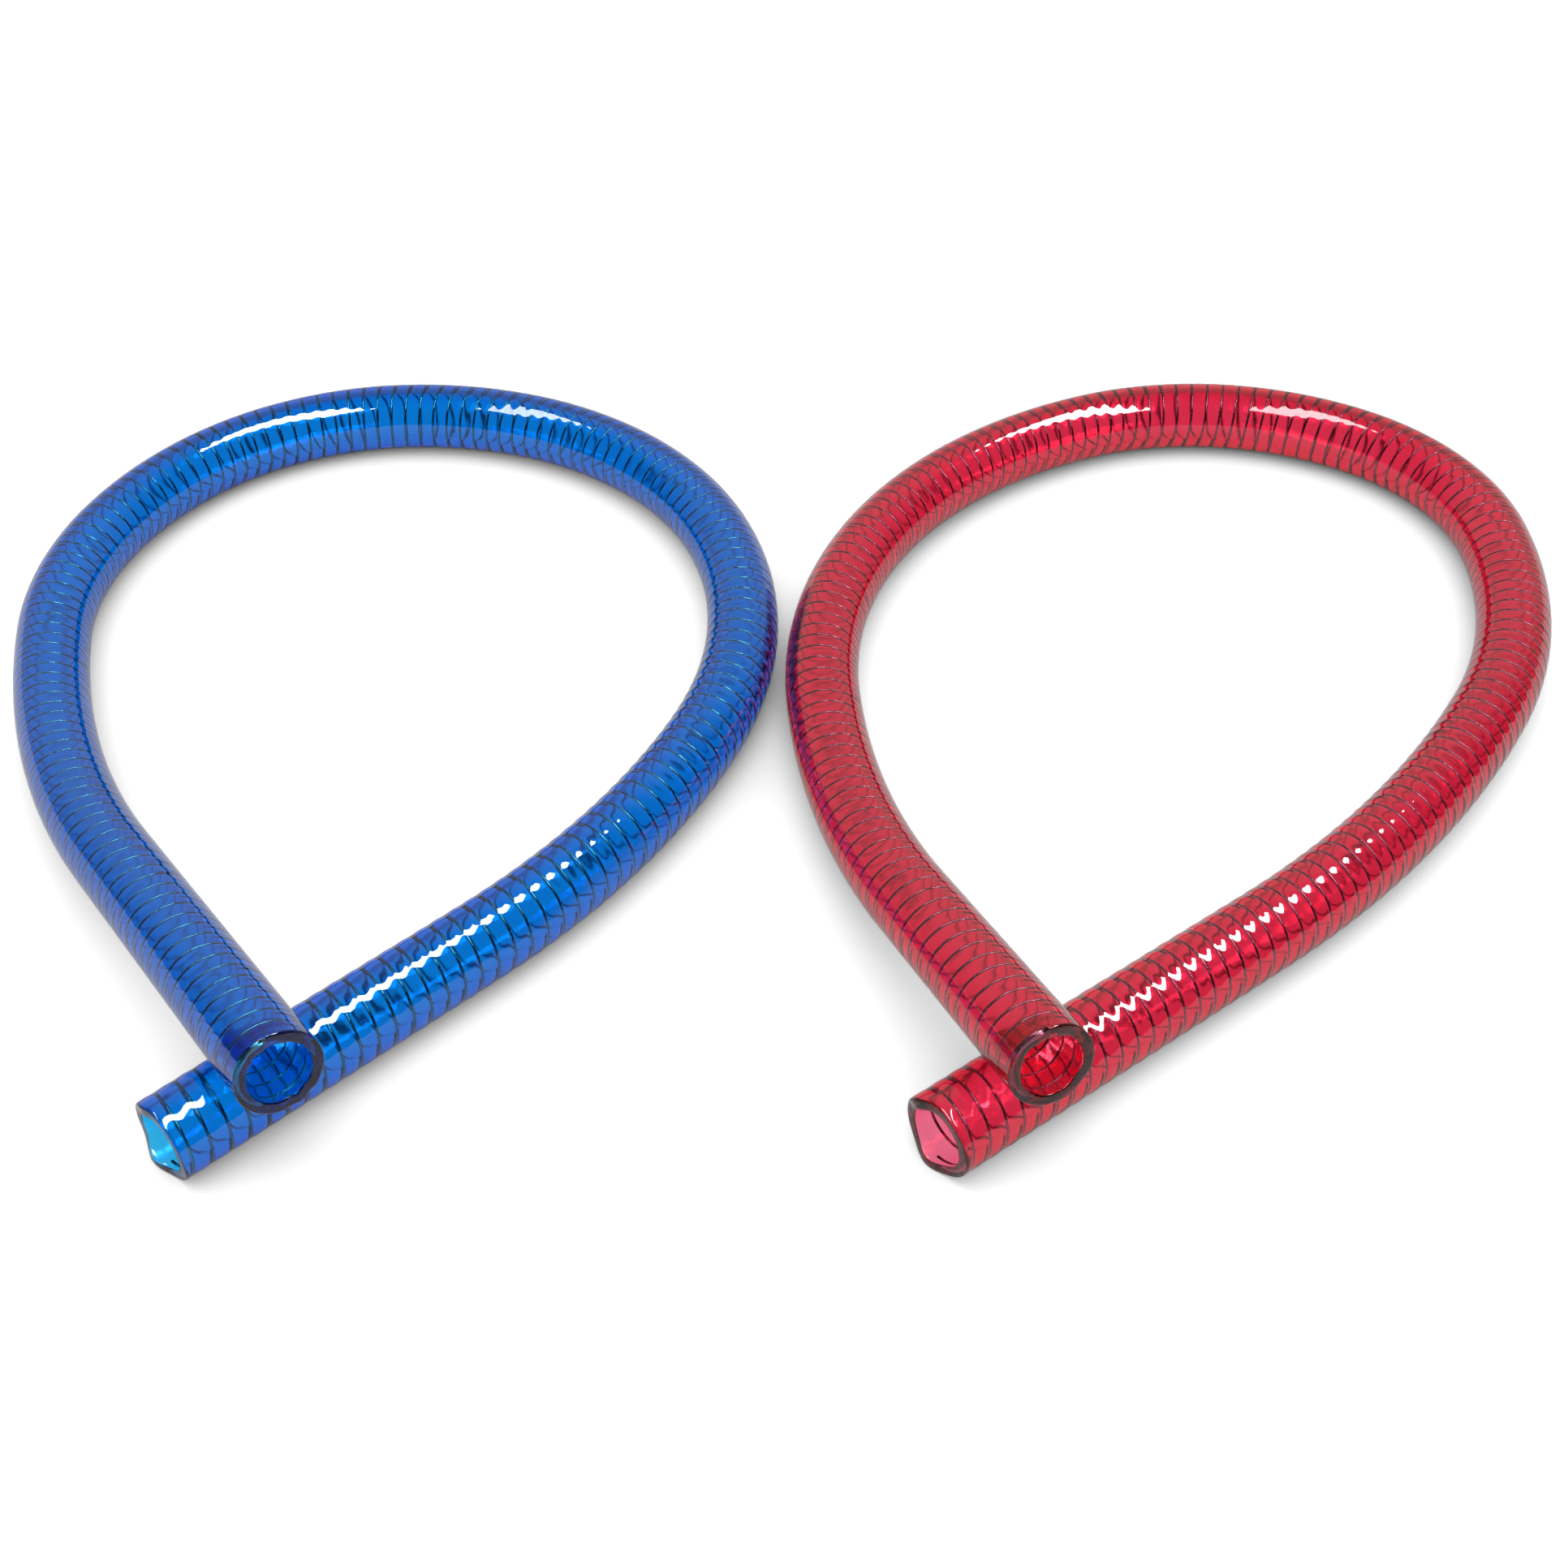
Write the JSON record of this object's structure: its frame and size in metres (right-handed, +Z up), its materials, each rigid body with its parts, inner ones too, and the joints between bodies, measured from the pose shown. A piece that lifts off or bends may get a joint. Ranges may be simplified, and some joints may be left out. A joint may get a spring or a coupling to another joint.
{
  "type": "reinforced hose pair",
  "caption": "Clear tinted hoses with a steel wire spiral in the wall, for cold and hot water, each lying in a loop with its upper end across its own lower leg.",
  "frame": {"origin": "centre of the underside of the pair's bounding box, on the surface that the hoses lie on", "axes": "+X from the blue hose to the red one, +Y away from the open ends, +Z up"},
  "size_m": [0.5648, 0.4056, 0.0568],
  "materials": {
    "blue_wall": "clear blue soft vinyl, smooth and glossy, with a shallow bulge between turns of the wire",
    "red_wall": "clear red soft vinyl, smooth and glossy, with a shallow bulge between turns of the wire",
    "wire": "bright drawn spring wire"
  },
  "bodies": {
    "blue_hose": {"blue_hose_wall": "blue_wall", "blue_hose_wire": "wire"},
    "red_hose": {"red_hose_wall": "red_wall", "red_hose_wire": "wire"}
  },
  "joints": [
    {"name": "red_hose_lift", "type": "slide", "parent": "blue_hose", "child": "red_hose", "axis": [0, 0, 1], "range_m": [0, 0.12]}
  ]
}
